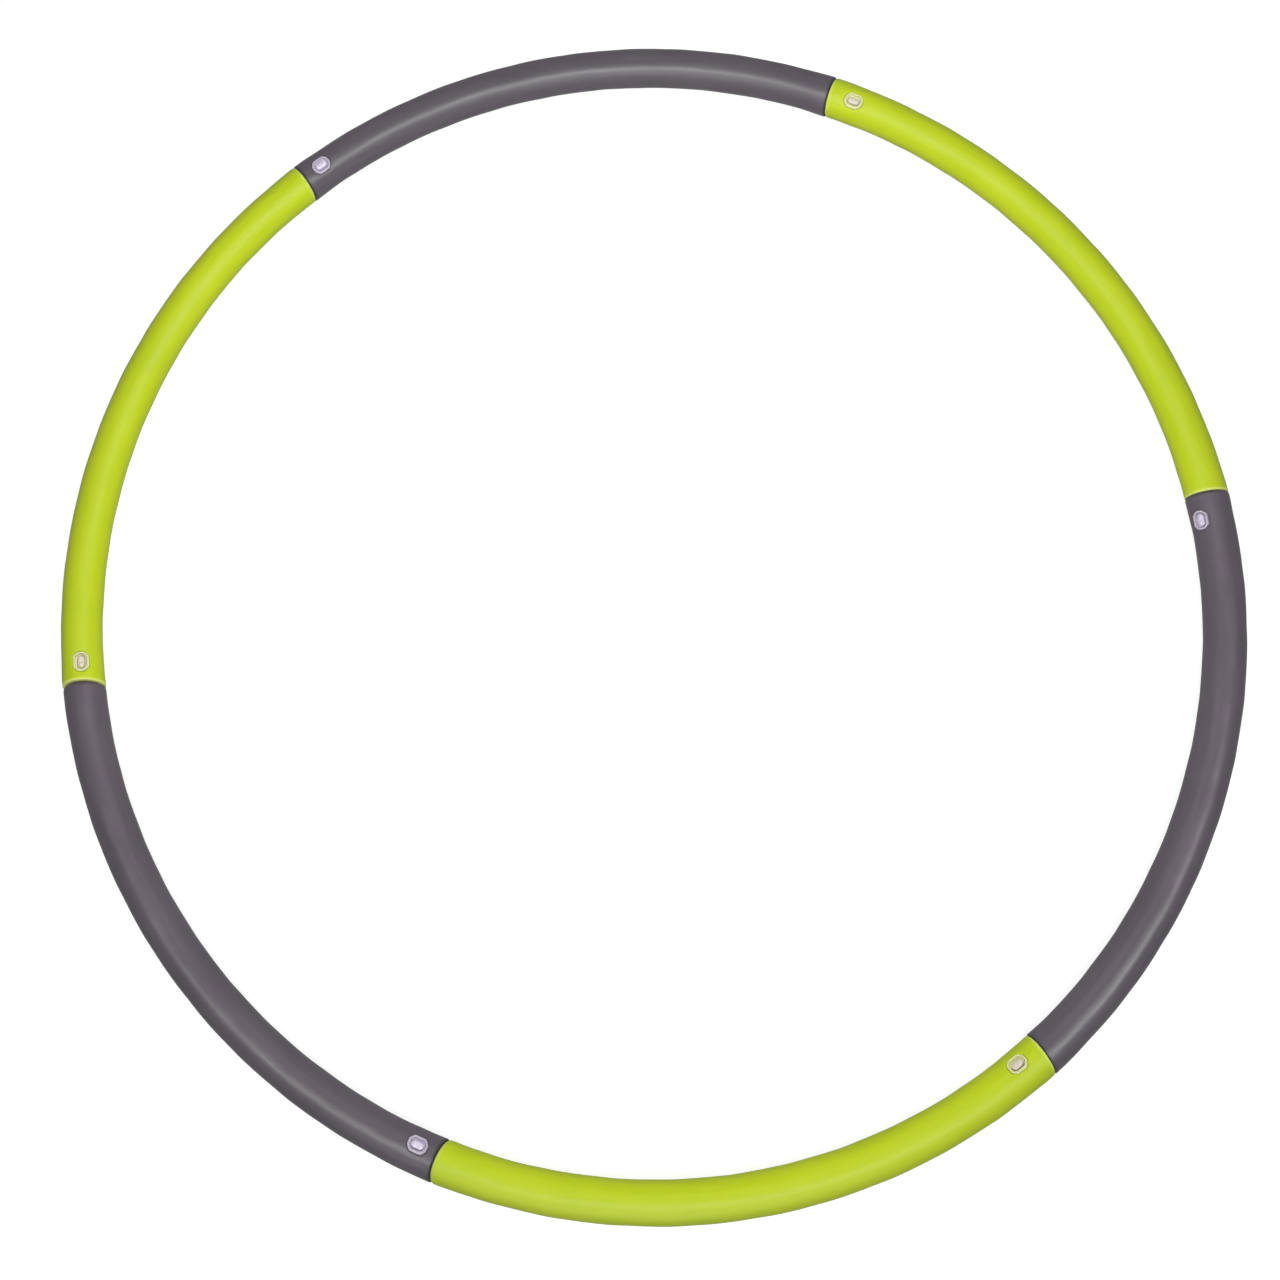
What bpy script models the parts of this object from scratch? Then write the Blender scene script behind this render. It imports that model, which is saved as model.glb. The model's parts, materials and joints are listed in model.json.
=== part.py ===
"""Sectional foam-covered rhythmic hoop.

Six curved tube sections plug into each other to make one round hoop. Each section is a plastic core
tube in a foam sleeve. One end carries a straight plug with a sprung latch. The other end takes the next
section's plug, and holds a push button in a bezel, which presses the latch in to release the joint.

The hoop lies flat: its axis is +Z, the origin is below its centre at the level it rests on, and the
sections run anticlockwise seen from above, each from its plug end to its button end.
"""
import math

import bmesh
import bpy
from mathutils import Matrix, Vector

# Driving dimensions, in metres and degrees
SECTIONS = 6
HOOP_RADIUS = 0.4845            # to the middle of the tube
FOAM_RADIUS = 0.0155
FOAM_THICKNESS = 0.005
CORE_RADIUS = 0.0097
CORE_WALL = 0.0017
GAP = 0.0003                    # left between pieces that touch
JOINT_GAP = 0.0002              # from a joint's plane to each section's end face
FIRST_JOINT = 9.7               # where the first section's plug end lies, from +X
BUTTON_SET = 0.0209             # from the joint to the middle of the push button

# How far each joint's button is rolled inward from the top of the tube, first joint first
BUTTON_ROLL = (67.0, 25.0, 17.0, 25.0, 41.0, 50.0)

# Plug: a collar and tail fixed in its own tube, and a spigot that enters the next section
SPIGOT_RADIUS = 0.0063
SPIGOT_LENGTH = 0.030
SPIGOT_LEAD = 0.0012            # chamfer that finds the socket
COLLAR_RADIUS = 0.0073
COLLAR_LENGTH = 0.014
TAIL_RADIUS = 0.0062
TAIL_END = 0.030
PLUG_BORE = 0.0049
PIN_SET = 0.008                 # from the joint to the pin that holds the plug
PIN_RADIUS = 0.0015
PIN_HALF_LENGTH = 0.0093

# Mouth bush: the ring in the button end that guides the spigot
BUSH_RADIUS = 0.0074
BUSH_BORE = 0.0068
BUSH_LENGTH = 0.012
BUSH_CHAMFER = 0.0004

# Bezel: sizes are (along the tube, around it), and heights are from the tube's middle
BEZEL_SIZE = (0.0164, 0.0118)
BEZEL_CORNER = 0.0035           # cut off each corner of the outline
BEZEL_TOP = 0.0153
BEZEL_EDGE = 0.0006
BEZEL_RECESS = (0.0134, 0.0088)
BEZEL_RECESS_CORNER = 0.0028
BEZEL_RECESS_FLOOR = 0.0139
BEZEL_NECK = (0.0134, 0.0078)
BEZEL_NECK_TOP = 0.0132
BEZEL_FOOT = 0.0084
BEZEL_CATCH = (0.0120, 0.0068)
BEZEL_CATCH_TOP = 0.0121
BEZEL_SADDLE = 0.0109           # radius that sits over the core tube

# Push button: a post with a flange that keeps it in the bezel
BUTTON_SIZE = (0.0103, 0.0051)
BUTTON_FOOT = 0.0102
BUTTON_SHOULDER = 0.0142
FLANGE_SIZE = (0.0114, 0.0062)
FLANGE_LOW = 0.0110
FLANGE_HIGH = 0.0118
LOBE_SET = 0.0025               # the two finger lobes lie either side of the middle
LOBE_SIZE = (0.0023, 0.0022, 0.0008)

# Latch: a folded steel strip in the spigot, with a block that stands in the tube's window
LATCH_SIZE = (0.0108, 0.0050)
LATCH_FOOT = 0.0032
LATCH_TOP = 0.0099
LATCH_EDGE = 0.0006
STRIP_WIDTH = 0.0044
STRIP_THICKNESS = 0.0006
STRIP_LOW = -0.0037
STRIP_HIGH = 0.0034
STRIP_FOLD = 0.0035             # from the joint to the strip's fold
STRIP_START = 0.0250
STRIP_RISE_END = 0.0145
STRIP_END = 0.0270

# Facets
FOAM_SIDES = 12
CORE_SIDES = 10
TURNED_SIDES = 12
PIN_SIDES = 8
SADDLE_SIDES = 16
SECTION_STEPS = 14
LOBE_SIDES = 8
LOBE_RINGS = 4
SHARP_EDGE = 35.0               # edges that turn by more degrees than this are shaded sharp
BEVEL_EDGE = 60.0               # edges that turn by more than this are bevelled
BEZEL_BEVEL_EDGE = 70.0         # on the bezel, only its top and bottom edges
WELD_DISTANCE = 1e-6
SEAM_DISTANCE = 1e-5
FULL_TURN = 2 * math.pi

# Finishes: colour, roughness, metallic
FINISHES = {
    "foam_lime": ((0.52, 0.64, 0.03), 0.55, 0.0),
    "foam_grey": ((0.13, 0.12, 0.135), 0.50, 0.0),
    "core_plastic": ((0.62, 0.61, 0.58), 0.45, 0.0),
    "plug_plastic": ((0.70, 0.69, 0.66), 0.40, 0.0),
    "bush_plastic": ((0.16, 0.16, 0.17), 0.45, 0.0),
    "bezel_plastic": ((0.74, 0.72, 0.76), 0.35, 0.0),
    "button_plastic": ((0.82, 0.80, 0.84), 0.30, 0.0),
    "spring_steel": ((0.55, 0.56, 0.58), 0.28, 1.0),
    "pin_steel": ((0.62, 0.62, 0.62), 0.35, 1.0),
}


# Tools

def clear_scene():
    for thing in list(bpy.data.objects):
        bpy.data.objects.remove(thing, do_unlink=True)


def new_collection(name):
    group = bpy.data.collections.new(name)
    bpy.context.scene.collection.children.link(group)
    return group


def make_material(name):
    colour, roughness, metallic = FINISHES[name]
    material = bpy.data.materials.new(name)
    material.use_nodes = True
    shader = material.node_tree.nodes["Principled BSDF"]
    shader.inputs["Base Color"].default_value = (*colour, 1.0)
    shader.inputs["Roughness"].default_value = roughness
    shader.inputs["Metallic"].default_value = metallic
    material.diffuse_color = (*colour, 1.0)
    return material


clear_scene()
PARTS = new_collection("rhythmic_hoop")
CUTTERS = new_collection("cutters")
MATERIALS = {name: make_material(name) for name in FINISHES}


def add_object(name, data, group):
    thing = bpy.data.objects.new(name, data)
    group.objects.link(thing)
    return thing


def add_cutter(name, mesh, matrix=Matrix()):
    thing = add_object(name, mesh, CUTTERS)
    thing.matrix_world = matrix
    thing.hide_render = True
    thing.display_type = "WIRE"
    return thing


def boolean(thing, cutter, operation="DIFFERENCE"):
    step = thing.modifiers.new(cutter.name, "BOOLEAN")
    step.object = cutter
    step.operation = operation
    step.solver = "EXACT"


def bevel(thing, width, angle=BEVEL_EDGE):
    step = thing.modifiers.new("bevel", "BEVEL")
    step.width = width
    step.segments = 1
    step.limit_method = "ANGLE"
    step.angle_limit = math.radians(angle)


def evaluated_mesh(thing):
    """The object's shape with its modifiers, as a mesh of its own."""
    bpy.context.view_layer.update()
    graph = bpy.context.evaluated_depsgraph_get()
    return bpy.data.meshes.new_from_object(thing.evaluated_get(graph))


def weld(mesh):
    work = bmesh.new()
    work.from_mesh(mesh)
    bmesh.ops.remove_doubles(work, verts=work.verts, dist=WELD_DISTANCE)
    bmesh.ops.recalc_face_normals(work, faces=work.faces)
    work.to_mesh(mesh)
    work.free()


def smooth(mesh):
    mesh.shade_smooth()
    mesh.set_sharp_from_angle(angle=math.radians(SHARP_EDGE))


def shared_mesh(thing, name, cutters=()):
    """One plain mesh of the object's shape for its copies to share. The object and its cutters go."""
    mesh = evaluated_mesh(thing)
    mesh.name = name
    smooth(mesh)
    for old in (thing, *cutters):
        bpy.data.objects.remove(old)
    return mesh


# Outlines and basic solids

def octagon(size, corner, grow=0.0):
    """A box outline with its corners cut off, outset by a gap."""
    a = size[0] / 2 + grow
    b = size[1] / 2 + grow
    return [
        (a, corner - b), (a, b - corner), (a - corner, b), (corner - a, b),
        (-a, b - corner), (-a, corner - b), (corner - a, -b), (a - corner, -b),
    ]


def stadium(size, grow=0.0, steps=3):
    """Straight sides joined by half circles, outset by a gap."""
    radius = size[1] / 2 + grow
    reach = size[0] / 2 + grow - radius
    points = []
    for side, first in ((1, -90), (-1, 90)):
        for i in range(steps + 1):
            angle = math.radians(first + 180 * i / steps)
            points.append((side * reach + radius * math.cos(angle), radius * math.sin(angle)))
    return points


def raised(outline, low, high):
    """A flat outline raised from one height to another, as a closed mesh."""
    curve = bpy.data.curves.new("outline", "CURVE")
    curve.dimensions = "2D"
    curve.fill_mode = "BOTH"
    curve.extrude = (high - low) / 2
    spline = curve.splines.new("POLY")
    spline.points.add(len(outline) - 1)
    for point, (x, y) in zip(spline.points, outline):
        point.co = (x, y, 0, 1)
    spline.use_cyclic_u = True
    flat = add_object("outline", curve, CUTTERS)
    mesh = evaluated_mesh(flat)
    bpy.data.objects.remove(flat)
    weld(mesh)
    mesh.transform(Matrix.Translation((0, 0, (low + high) / 2)))
    return mesh


def rod(radius, half_length, sides):
    """A round bar along Z."""
    work = bmesh.new()
    bmesh.ops.create_cone(
        work, cap_ends=True, segments=sides, radius1=radius, radius2=radius, depth=2 * half_length
    )
    mesh = bpy.data.meshes.new("rod")
    work.to_mesh(mesh)
    work.free()
    return mesh


def turned(name, profile):
    """A closed profile of (radius, height), down its outer side and up its bore, turned about Z."""
    count = len(profile)
    mesh = bpy.data.meshes.new(name)
    mesh.from_pydata(
        [(radius, 0, height) for radius, height in profile],
        [(i, (i + 1) % count) for i in range(count)],
        [],
    )
    thing = add_object(name, mesh, CUTTERS)
    screw = thing.modifiers.new("turn", "SCREW")
    screw.angle = FULL_TURN
    screw.steps = TURNED_SIDES
    screw.render_steps = TURNED_SIDES
    screw.use_merge_vertices = True
    screw.merge_threshold = SEAM_DISTANCE
    return thing


# Frames along the hoop

def joint_angle(joint):
    return math.radians(FIRST_JOINT + 360 / SECTIONS * joint)


def tube_frame(angle, joint):
    """Middle of the tube at an angle: X runs clockwise along it, Z points out at the joint's roll."""
    roll = math.radians(BUTTON_ROLL[joint % SECTIONS])
    outward = Vector((math.cos(angle), math.sin(angle), 0))
    along = Vector((math.sin(angle), -math.cos(angle), 0))
    up = Vector((0, 0, 1)) * math.cos(roll) - outward * math.sin(roll)
    side = up.cross(along)
    matrix = Matrix((along, side, up)).transposed().to_4x4()
    matrix.translation = outward * HOOP_RADIUS + Vector((0, 0, FOAM_RADIUS))
    return matrix


def joint_frame(joint):
    return tube_frame(joint_angle(joint), joint)


def window_frame(joint):
    return tube_frame(joint_angle(joint) - BUTTON_SET / HOOP_RADIUS, joint)


# Turned pieces stand on Z. This lays them along a joint frame's X, with their own X towards its Z.
LAY_ALONG = Matrix(((0, 0, 1, 0), (0, -1, 0, 0), (1, 0, 0, 0), (0, 0, 0, 1)))


# Pieces that each section repeats

def plug_mesh():
    """The plug along Z, from its tail in its own tube to the spigot's tip."""
    profile = [
        (SPIGOT_RADIUS - SPIGOT_LEAD, SPIGOT_LENGTH),
        (SPIGOT_RADIUS, SPIGOT_LENGTH - 2 * SPIGOT_LEAD),
        (SPIGOT_RADIUS, -JOINT_GAP),
        (COLLAR_RADIUS, -JOINT_GAP),
        (COLLAR_RADIUS, -COLLAR_LENGTH),
        (TAIL_RADIUS, -COLLAR_LENGTH),
        (TAIL_RADIUS, -TAIL_END),
        (PLUG_BORE, -TAIL_END),
        (PLUG_BORE, SPIGOT_LENGTH),
    ]
    body = turned("plug", profile)
    slot = add_cutter(
        "slot",
        raised(stadium(LATCH_SIZE, grow=GAP), STRIP_HIGH, CORE_RADIUS),
        LAY_ALONG.inverted() @ Matrix.Translation((BUTTON_SET, 0, 0)),
    )
    hole = add_cutter(
        "pin_hole",
        rod(PIN_RADIUS + GAP, CORE_RADIUS, PIN_SIDES),
        Matrix.Translation((0, 0, -PIN_SET)) @ Matrix.Rotation(math.pi / 2, 4, "X"),
    )
    boolean(body, slot)
    boolean(body, hole)
    return shared_mesh(body, "plug", (slot, hole))


def plug_pin_mesh():
    mesh = rod(PIN_RADIUS, PIN_HALF_LENGTH, PIN_SIDES)
    smooth(mesh)
    return mesh


def mouth_bush_mesh():
    """The guide ring along Z, running back from the joint."""
    far = JOINT_GAP + BUSH_LENGTH
    profile = [
        (BUSH_RADIUS, far),
        (BUSH_RADIUS, JOINT_GAP),
        (BUSH_BORE + BUSH_CHAMFER, JOINT_GAP),
        (BUSH_BORE, JOINT_GAP + BUSH_CHAMFER),
        (BUSH_BORE, far),
    ]
    return shared_mesh(turned("mouth_bush", profile), "mouth_bush")


def bezel_mesh():
    """The bezel, with X along the tube and Z out through its opening."""
    body = add_object(
        "bezel", raised(octagon(BEZEL_SIZE, BEZEL_CORNER), BEZEL_FOOT, BEZEL_TOP), CUTTERS
    )
    bevel(body, BEZEL_EDGE, angle=BEZEL_BEVEL_EDGE)
    saddle = add_cutter(
        "saddle",
        rod(BEZEL_SADDLE, BEZEL_SIZE[0], SADDLE_SIDES),
        Matrix.Rotation(math.pi / 2, 4, "Y"),
    )
    neck = add_cutter("neck", raised(stadium(BEZEL_NECK), BEZEL_FOOT, BEZEL_NECK_TOP))
    catch = add_cutter("catch", raised(stadium(BEZEL_CATCH), 0, BEZEL_CATCH_TOP))
    clear_above = 2 * BEZEL_TOP
    way = add_cutter("way", raised(stadium(BUTTON_SIZE, grow=GAP), 0, clear_above))
    recess = add_cutter(
        "recess",
        raised(octagon(BEZEL_RECESS, BEZEL_RECESS_CORNER), BEZEL_RECESS_FLOOR, clear_above),
    )
    boolean(body, saddle)
    boolean(body, neck, "UNION")
    boolean(body, catch)
    boolean(body, way)
    boolean(body, recess)
    return shared_mesh(body, "button_bezel", (saddle, neck, catch, way, recess))


def button_mesh():
    """The push button, with X along the tube and Z the way it comes out."""
    body = add_object("button", raised(stadium(BUTTON_SIZE), BUTTON_FOOT, BUTTON_SHOULDER), CUTTERS)
    flange = add_cutter("flange", raised(stadium(FLANGE_SIZE), FLANGE_LOW, FLANGE_HIGH))
    cutters = [flange]
    for side in (-1, 1):
        work = bmesh.new()
        bmesh.ops.create_uvsphere(work, u_segments=LOBE_SIDES, v_segments=LOBE_RINGS, radius=1)
        mesh = bpy.data.meshes.new("lobe")
        work.to_mesh(mesh)
        work.free()
        place = Matrix.Translation((side * LOBE_SET, 0, BUTTON_SHOULDER))
        mesh.transform(place @ Matrix.Diagonal((*LOBE_SIZE, 1)))
        cutters.append(add_cutter("lobe", mesh))
    for cutter in cutters:
        boolean(body, cutter, "UNION")
    return shared_mesh(body, "push_button", cutters)


def latch_mesh():
    """The folded strip and its block, in the joint's frame: X along the spigot, Z towards the button."""
    route = [
        (STRIP_START, STRIP_LOW),
        (STRIP_FOLD + STRIP_THICKNESS, STRIP_LOW),
        (STRIP_FOLD, STRIP_LOW + STRIP_THICKNESS),
        (STRIP_FOLD + STRIP_THICKNESS, STRIP_LOW + 2 * STRIP_THICKNESS),
        (STRIP_RISE_END, STRIP_HIGH),
        (STRIP_END, STRIP_HIGH),
    ]
    curve = bpy.data.curves.new("strip", "CURVE")
    curve.dimensions = "3D"
    curve.extrude = STRIP_WIDTH / 2
    spline = curve.splines.new("POLY")
    spline.points.add(len(route) - 1)
    for point, (x, y) in zip(spline.points, route):
        point.co = (x, y, 0, 1)
    ribbon = add_object("ribbon", curve, CUTTERS)
    mesh = evaluated_mesh(ribbon)
    bpy.data.objects.remove(ribbon)
    mesh.transform(Matrix.Rotation(math.pi / 2, 4, "X"))
    strip = add_object("latch_spring", mesh, CUTTERS)
    shell = strip.modifiers.new("thickness", "SOLIDIFY")
    shell.thickness = STRIP_THICKNESS
    shell.offset = 0
    shell.use_even_offset = True
    block_body = add_object("block", raised(stadium(LATCH_SIZE), LATCH_FOOT, LATCH_TOP), CUTTERS)
    bevel(block_body, LATCH_EDGE)
    block = add_cutter("latch_block", shared_mesh(block_body, "latch_block"))
    block.location.x = BUTTON_SET
    boolean(strip, block, "UNION")
    return shared_mesh(strip, "latch_spring", (block,))


# Curved pieces along the hoop

def ring_section(name, radius, wall, sides, start, end):
    """A curved tube between two angles, with flats at its top and bottom."""
    corner_radius = radius / math.cos(math.pi / sides)
    points = []
    for i in range(sides):
        angle = math.pi / 2 - FULL_TURN * (i + 0.5) / sides
        points.append((HOOP_RADIUS + corner_radius * math.cos(angle), 0, corner_radius * math.sin(angle)))
    mesh = bpy.data.meshes.new(name)
    mesh.from_pydata(points, [(i, (i + 1) % sides) for i in range(sides)], [])
    thing = add_object(name, mesh, PARTS)
    thing.matrix_world = Matrix.Translation((0, 0, FOAM_RADIUS)) @ Matrix.Rotation(start, 4, "Z")
    screw = thing.modifiers.new("sweep", "SCREW")
    screw.angle = end - start
    screw.steps = SECTION_STEPS
    screw.render_steps = SECTION_STEPS
    screw.use_smooth_shade = True
    shell = thing.modifiers.new("wall", "SOLIDIFY")
    shell.thickness = wall
    shell.offset = -1
    shell.use_even_offset = True
    return thing


def section_angles(section):
    gap = JOINT_GAP / HOOP_RADIUS
    return joint_angle(section) + gap, joint_angle(section + 1) - gap


def foam_sleeve(section):
    sleeve = ring_section(
        f"foam_sleeve_{section + 1}",
        FOAM_RADIUS, FOAM_THICKNESS, FOAM_SIDES, *section_angles(section),
    )
    window = add_cutter(
        f"foam_window_{section + 1}",
        raised(octagon(BEZEL_SIZE, BEZEL_CORNER, grow=GAP), 0, 2 * FOAM_RADIUS),
        window_frame(section + 1),
    )
    boolean(sleeve, window)
    return sleeve


def core_tube(section):
    tube = ring_section(
        f"core_tube_{section + 1}",
        CORE_RADIUS, CORE_WALL, CORE_SIDES, *section_angles(section),
    )
    window = add_cutter(
        f"core_window_{section + 1}",
        raised(stadium(BEZEL_NECK, grow=GAP), 0, 2 * CORE_RADIUS),
        window_frame(section + 1),
    )
    holes = add_cutter(
        f"core_pin_holes_{section + 1}",
        rod(PIN_RADIUS + GAP, 2 * CORE_RADIUS, PIN_SIDES),
        pin_frame(section),
    )
    boolean(tube, window)
    boolean(tube, holes)
    return tube


def pin_frame(joint):
    return joint_frame(joint) @ Matrix.Translation((-PIN_SET, 0, 0)) @ Matrix.Rotation(math.pi / 2, 4, "X")


# Assembly

SHARED = {
    "plug": plug_mesh(),
    "plug_pin": plug_pin_mesh(),
    "mouth_bush": mouth_bush_mesh(),
    "button_bezel": bezel_mesh(),
    "push_button": button_mesh(),
    "latch_spring": latch_mesh(),
}


def place(thing, matrix, parent, material):
    """Put a piece at its place in the hoop, on its section."""
    thing.parent = parent
    thing.matrix_parent_inverse = parent.matrix_world.inverted()
    thing.matrix_basis = matrix
    thing.data.materials.clear()
    thing.data.materials.append(MATERIALS[material])


def copy_of(shape, section):
    return add_object(f"{shape}_{section + 1}", SHARED[shape], PARTS)


def build_section(section):
    """One section: its empty lies on the axis along which it is pulled out of the section before it."""
    carrier = add_object(f"section_{section + 1}", None, PARTS)
    carrier.matrix_world = joint_frame(section)
    bpy.context.view_layer.update()
    foam = "foam_lime" if section % 2 == 0 else "foam_grey"
    sleeve = foam_sleeve(section)
    tube = core_tube(section)
    place(sleeve, sleeve.matrix_world.copy(), carrier, foam)
    place(tube, tube.matrix_world.copy(), carrier, "core_plastic")
    plug_end = joint_frame(section)
    place(copy_of("plug", section), plug_end @ LAY_ALONG, carrier, "plug_plastic")
    place(copy_of("plug_pin", section), pin_frame(section), carrier, "pin_steel")
    place(copy_of("latch_spring", section), plug_end, carrier, "spring_steel")
    button_end = joint_frame(section + 1)
    place(copy_of("mouth_bush", section), button_end @ LAY_ALONG, carrier, "bush_plastic")
    window = window_frame(section + 1)
    place(copy_of("button_bezel", section), window, carrier, "bezel_plastic")
    place(copy_of("push_button", section), window, carrier, "button_plastic")


for number in range(SECTIONS):
    build_section(number)
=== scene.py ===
"""Looks of the sectional foam hoop: its moulded foam, plastic and steel pieces, with light and camera.

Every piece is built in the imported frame, in metres. A tube's surface is described by a distance along
the tube, a turn around it and a radius from its middle. A window is an opening cut through a tube's wall,
and its own plane has x along the tube (clockwise seen from above), y around it and z out of it.
"""

import json
import math

import bmesh
import bpy
import numpy as np
from mathutils import Matrix, Vector

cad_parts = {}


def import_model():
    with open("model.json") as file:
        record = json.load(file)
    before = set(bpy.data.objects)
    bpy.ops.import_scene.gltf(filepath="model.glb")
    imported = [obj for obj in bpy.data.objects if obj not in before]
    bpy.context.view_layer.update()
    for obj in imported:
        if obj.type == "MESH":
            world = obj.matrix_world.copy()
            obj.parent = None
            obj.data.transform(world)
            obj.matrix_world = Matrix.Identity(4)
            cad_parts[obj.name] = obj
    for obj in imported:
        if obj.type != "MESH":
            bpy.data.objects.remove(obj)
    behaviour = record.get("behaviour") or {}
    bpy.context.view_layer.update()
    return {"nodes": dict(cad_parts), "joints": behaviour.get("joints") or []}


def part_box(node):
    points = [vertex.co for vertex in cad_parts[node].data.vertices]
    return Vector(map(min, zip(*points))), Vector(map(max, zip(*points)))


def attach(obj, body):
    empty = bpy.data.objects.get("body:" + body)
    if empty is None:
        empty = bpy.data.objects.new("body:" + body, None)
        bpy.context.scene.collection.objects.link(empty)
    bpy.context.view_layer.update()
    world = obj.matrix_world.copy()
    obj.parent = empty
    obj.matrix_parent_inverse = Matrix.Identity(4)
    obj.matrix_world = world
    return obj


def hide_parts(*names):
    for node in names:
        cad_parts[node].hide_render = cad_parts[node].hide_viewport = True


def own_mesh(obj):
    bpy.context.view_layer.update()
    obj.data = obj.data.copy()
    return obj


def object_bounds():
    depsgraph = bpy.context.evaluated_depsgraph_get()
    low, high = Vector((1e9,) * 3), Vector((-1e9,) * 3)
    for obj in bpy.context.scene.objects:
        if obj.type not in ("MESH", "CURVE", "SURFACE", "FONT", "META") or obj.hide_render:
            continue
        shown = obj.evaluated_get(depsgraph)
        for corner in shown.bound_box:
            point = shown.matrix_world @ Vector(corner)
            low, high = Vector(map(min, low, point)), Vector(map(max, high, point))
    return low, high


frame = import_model()

# The hoop's own sizes, from the frame
SECTIONS = 6
SECTION_TURN = 2 * math.pi / SECTIONS
FOAM_LOW, FOAM_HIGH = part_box("foam_sleeve_1")
TUBE = (FOAM_HIGH.z - FOAM_LOW.z) / 2
RING = max(Vector(v.co.xy).length for v in frame["nodes"]["foam_sleeve_1"].data.vertices) - TUBE
BUTTON_SET = 0.0209             # from a joint to the middle of its push button

# Foam sleeves
END_GAP = 0.0002                # from a joint's plane to a sleeve's end face
FOAM_BORE = 0.0098
FOAM_BORE_ROUND = 0.0006
FOAM_ROUND = 0.0010             # rounding of a sleeve's outer end edge
FOAM_ROUND_LEANING = 0.0070     # more of it for each unit that the end leans out over its neighbour
FOAM_SWELL = 0.00040            # how far the foam stands up beside a joint
FOAM_SWELL_REACH = 0.022
PAINTED_RIM_REACH = 0.0009         # how far the painted end rim runs in from a sleeve's end: a painted highlight on lime, a painted shadow on grey
PAINTED_RIM_ROUND = 0.4            # and the share of the end's rounding that is added to it
SKEW_REACH = 0.0115             # how far from a joint its skew dies out
WINDOW_GAP = 0.0003             # around the bezel
FOAM_LIP = 0.00055
FOAM_DIP = 0.00030              # the foam is drawn down beside the bezel
FOAM_DIP_REACH = 0.0016

# The foam's ends meet a little out of square: how far the meeting plane of joints 1 to 6 moves
# anticlockwise for each unit up, and for each unit outward
JOINT_SKEW = ((0.12, -0.14), (0.21, -0.07), (-0.15, 0.03), (-0.35, 0.06), (-0.32, 0.09), (0.05, -0.18))

# Gentle unevenness of the moulded skin, as waves of (share, radians a metre, radians a section, times
# around the tube, sway around the tube)
FOAM_WAVE = 0.00009
FOAM_WAVES = ((1.0, 139, 1.7, 0, 1.3), (0.7, 71, -2.1, 2, 0), (0.4, 263, 0.9, -3, 0))

# Bezel: sizes are (along, around), heights are from the tube's middle
BEZEL_SIZE = (0.0164, 0.0118)
BEZEL_CORNER = 0.0035
BEZEL_TOP = 0.01555
BEZEL_SAG = 0.00045             # the rim follows the tube down towards its sides
RIM_WIDTH = 0.00155
RIM_EDGE = 0.00040
RIM_INNER_EDGE = 0.00025
GROOVE_FLOOR = 0.0128
GROOVE_DRAFT = 0.0001           # the groove narrows by this from its mouth to its floor
GROOVE_FILLET = ((0.0, 0.0003), (0.0001, 0.0001), (0.0003, 0.0))    # (inward, up) from its outer corner
GROOVE_EDGE = 0.0002            # round the hole that the button stands in
BEZEL_SEAT = 0.0112
BEZEL_NECK = (0.0134, 0.0078)
BEZEL_FOOT = 0.0084
BEZEL_CATCH = (0.0120, 0.0068)
BEZEL_CATCH_TOP = 0.0121

# Push button
BUTTON_SIZE = (0.0103, 0.0051)
BUTTON_GAP = 0.0003
BUTTON_FOOT = 0.0102
BUTTON_SHOULDER = 0.01465
BUTTON_EDGE = 0.00055
BUTTON_CROWN = 0.00025
CROWN_ALONG = 0.5               # how much of the crown falls away at the button's two ends
FLANGE_SIZE = (0.0114, 0.0062)
FLANGE_LOW = 0.0110
FLANGE_HIGH = 0.0118
LOBE_SET = 0.0024
LOBE_SPREAD = 0.0016
LOBE_HEIGHT = 0.00055
LOBE_STEEPNESS = 0.6

# Core tube, plug, pin and mouth bush
CORE_RADIUS = 0.0097
CORE_BORE = 0.0080
SPIGOT_RADIUS = 0.0065
SPIGOT_LENGTH = 0.030
SPIGOT_NOSE = 0.0016
SLOT_EDGE = 0.0002
COLLAR_RADIUS = 0.0079
COLLAR_LENGTH = 0.014
COLLAR_FILLET = 0.0002
TAIL_END = 0.030
TAIL_EDGE = 0.0006
PLUG_BORE = 0.0049
PIN_SET = 0.008
PIN_RADIUS = 0.0015
PIN_BORE = 0.0008
PIN_HALF_LENGTH = 0.0093
PIN_EDGE = 0.0005
PIN_GAP = 0.0001
DRILL_ENDS = (-0.0171, 0.0173)
DRILL_SIDES = 20
DRILL_TURN = 0.37               # of a side, which keeps the drill's edges off the tube's own
BUSH_RADIUS = 0.0079
BUSH_BORE = 0.0068
BUSH_LENGTH = 0.012
BUSH_MOUTH = 0.0005
SMALL_EDGE = 0.0003

# Latch: a folded steel strip with a block that stands in the plug's slot
LATCH_SIZE = (0.0108, 0.0050)
LATCH_FOOT = 0.0030
LATCH_TOP = 0.0099
LATCH_EDGE = 0.0006
STRIP_WIDTH = 0.0044
STRIP_THICKNESS = 0.0006
STRIP_EDGE = 0.00012
STRIP_LOW = -0.0036
STRIP_HIGH = 0.0031
STRIP_START = 0.0250
STRIP_FOLD = 0.0045             # middle of the round fold
STRIP_BEND = 0.0010             # its radius
STRIP_RISE_END = 0.0145
STRIP_END = 0.0270

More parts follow.
